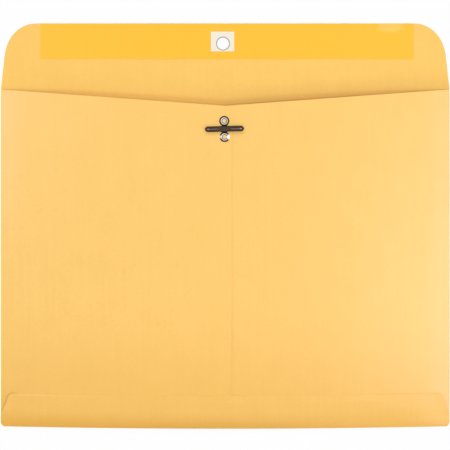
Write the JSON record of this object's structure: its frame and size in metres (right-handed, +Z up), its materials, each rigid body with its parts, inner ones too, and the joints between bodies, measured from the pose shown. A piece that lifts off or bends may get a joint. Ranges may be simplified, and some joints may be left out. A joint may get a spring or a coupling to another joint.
{
  "type": "clasp envelope",
  "caption": "Kraft paper clasp envelope, seam side up and open: a bulged pocket with a V throat, a gummed flap with a patched hole, and a stamped metal clasp with two prongs that bend up.",
  "frame": {"origin": "on the table, under the middle of the open envelope's box", "axes": "+X to the right along the throat, +Y from the bottom fold towards the flap, +Z up out of the table"},
  "size_m": [0.3048, 0.2752, 0.0073],
  "materials": {
    "kraft_paper": "matte",
    "dried_glue": "satin",
    "gum": "satin",
    "white_paper": "matte",
    "clasp_metal": "satin"
  },
  "bodies": {
    "envelope": {"back_panel": "kraft_paper", "left_side_panel": "kraft_paper", "right_side_panel": "kraft_paper", "bottom_flap": "kraft_paper", "seam_glue": "dried_glue", "bottom_flap_glue": "dried_glue", "clasp_base": "clasp_metal"},
    "flap": {"seal_flap": "kraft_paper", "seal_gum": "gum", "hole_patch": "white_paper"},
    "left_prong": {"left_prong": "clasp_metal"},
    "right_prong": {"right_prong": "clasp_metal"}
  },
  "joints": [
    {"name": "flap_fold", "type": "hinge", "parent": "envelope", "child": "flap", "pos_m": [0, 0.0949, 0.00285], "axis": [1, 0, 0], "range_deg": [0, 175]},
    {"name": "left_prong_bend", "type": "hinge", "parent": "envelope", "child": "left_prong", "pos_m": [-0.00245, 0.0658, 0.00677], "axis": [-0.0236, 0.9997, 0], "range_deg": [0, 90]},
    {"name": "right_prong_bend", "type": "hinge", "parent": "envelope", "child": "right_prong", "pos_m": [0.00145, 0.0659, 0.00677], "axis": [0.0236, -0.9997, 0], "range_deg": [0, 90]}
  ]
}
